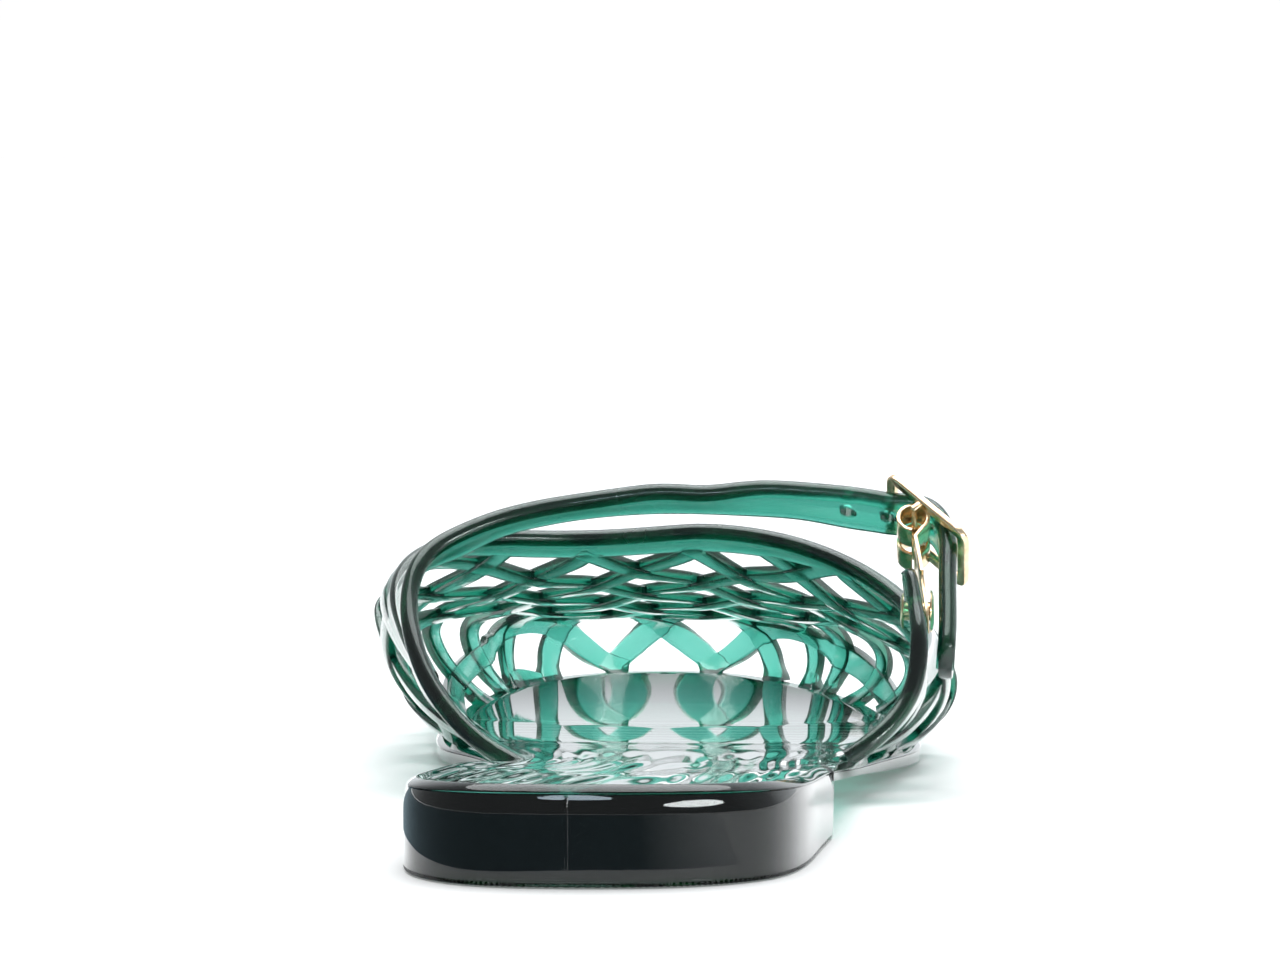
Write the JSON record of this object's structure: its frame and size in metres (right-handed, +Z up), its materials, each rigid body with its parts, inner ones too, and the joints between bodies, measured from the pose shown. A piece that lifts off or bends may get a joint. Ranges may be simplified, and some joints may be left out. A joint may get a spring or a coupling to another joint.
{
  "type": "jelly mule",
  "caption": "Right-foot moulded jelly mule: woven closed-toe upper with beaded collar, buckled instep strap and low heeled sole, standing empty",
  "frame": {"origin": "middle of the heel tread, on the floor", "axes": "+Y to the toe, +Z up, +X to the outer side of the right foot"},
  "size_m": [0.1019, 0.2502, 0.0507],
  "materials": {
    "sole_pvc": "gloss",
    "upper_pvc": "gloss",
    "gold_metal": "polished"
  },
  "bodies": {
    "root": {"sole": "sole_pvc", "upper": "upper_pvc", "buckle_frame": "gold_metal", "buckle_clip": "gold_metal", "buckle_prong": "gold_metal", "rivet": "gold_metal"}
  },
  "joints": []
}
